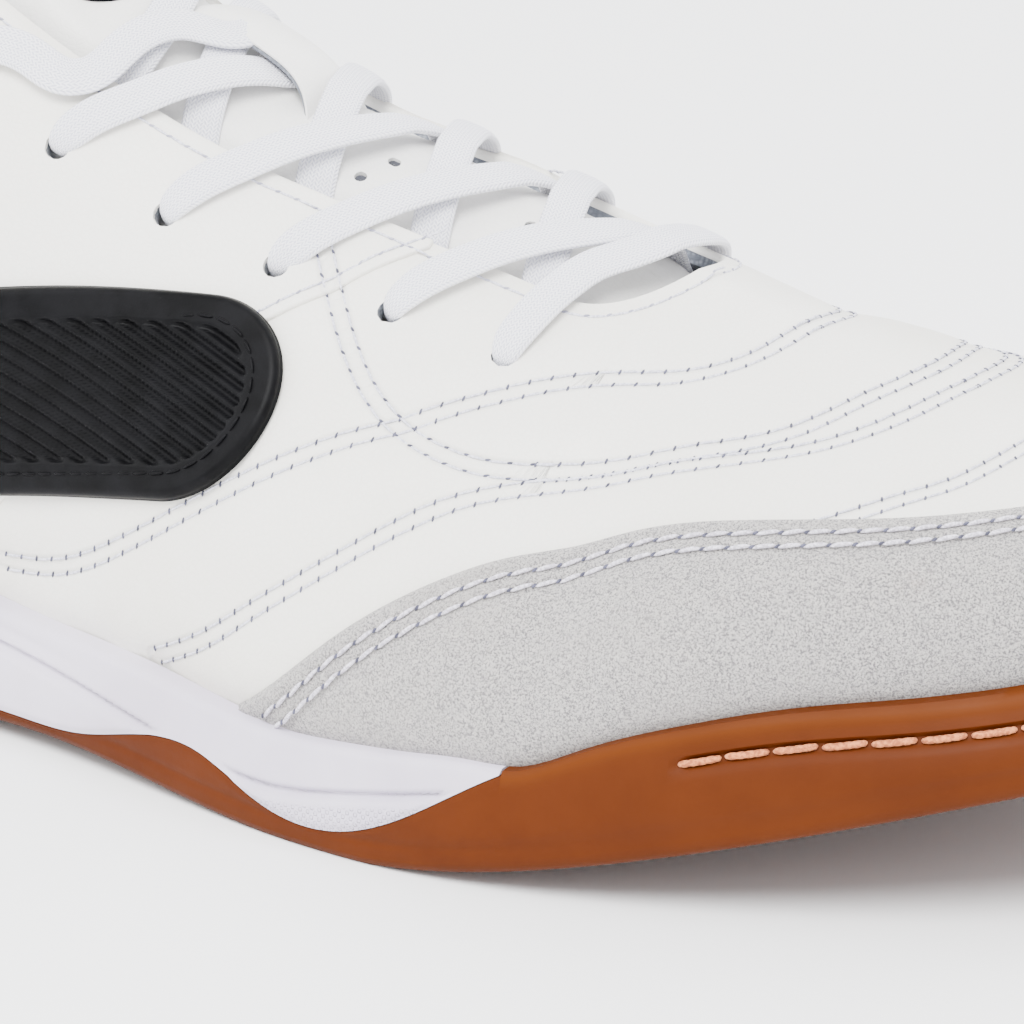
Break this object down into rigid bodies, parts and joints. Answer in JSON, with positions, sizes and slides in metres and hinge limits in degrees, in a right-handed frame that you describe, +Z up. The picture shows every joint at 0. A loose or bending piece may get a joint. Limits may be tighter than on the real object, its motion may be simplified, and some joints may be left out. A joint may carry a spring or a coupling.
{
  "type": "indoor soccer shoe",
  "caption": "Low right indoor soccer shoe: white leather upper, grey suede toe cap, black ribbed side ovals, flat laces, white midsole and gum rubber cup outsole.",
  "frame": {"origin": "on the floor, under the middle of the sole's length and width", "axes": "+X to the toe, +Y to the inner side of the foot, +Z up"},
  "size_m": [0.292, 0.1025, 0.1164],
  "materials": {
    "outsole": "gum rubber, satin",
    "midsole": "moulded foam, satin",
    "insole": "blue-grey textile",
    "upper": "smooth white leather",
    "tongue": "smooth white leather, padded",
    "toe_cap": "light grey suede",
    "side_patch": "ribbed black synthetic, satin",
    "lace": "flat woven lace"
  },
  "bodies": {
    "root": {"outsole": "outsole", "midsole": "midsole", "insole": "insole", "upper": "upper", "tongue": "tongue", "toe_cap": "toe_cap", "side_patch_outer": "side_patch", "side_patch_inner": "side_patch", "lace_bar": "lace", "lace_cross_1": "lace", "lace_cross_2": "lace", "lace_cross_3": "lace", "lace_cross_4": "lace", "lace_cross_5": "lace"}
  },
  "joints": []
}
